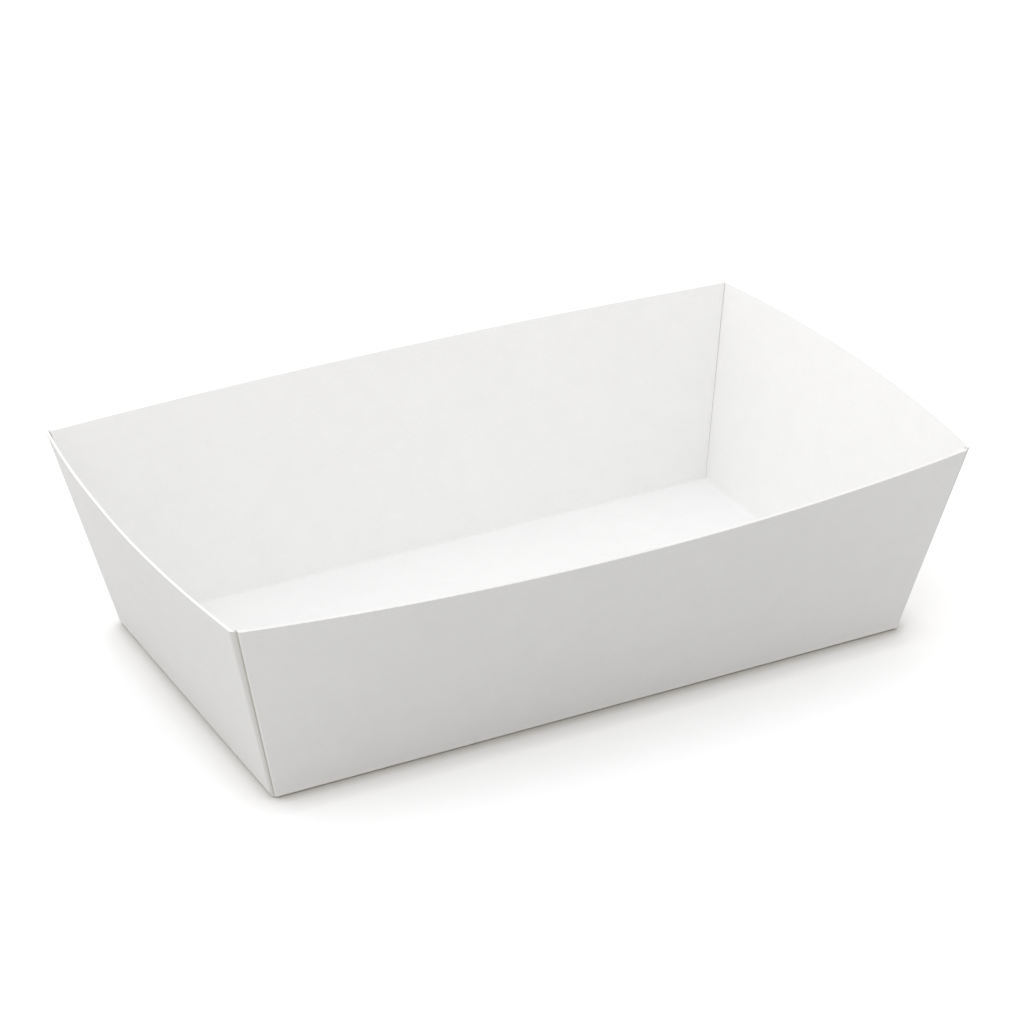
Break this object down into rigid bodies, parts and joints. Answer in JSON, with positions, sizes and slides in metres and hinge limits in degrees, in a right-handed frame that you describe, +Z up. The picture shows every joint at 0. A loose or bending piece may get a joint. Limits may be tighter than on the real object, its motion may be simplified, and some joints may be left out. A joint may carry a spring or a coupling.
{
  "type": "fries tray",
  "caption": "Open paperboard tray for fries, folded from one sheet, with flared and slightly bowed walls and corners held by glue flaps.",
  "frame": {"origin": "centre of the underside, on the plane the tray stands on", "axes": "+X along the tray's length, +Y from the front long wall to the back long wall, +Z up"},
  "size_m": [0.1878, 0.1236, 0.0486],
  "materials": {
    "paperboard": "matt white coated paperboard with pale cream cut edges"
  },
  "bodies": {
    "root": {"folded_tray": "paperboard"}
  },
  "joints": []
}
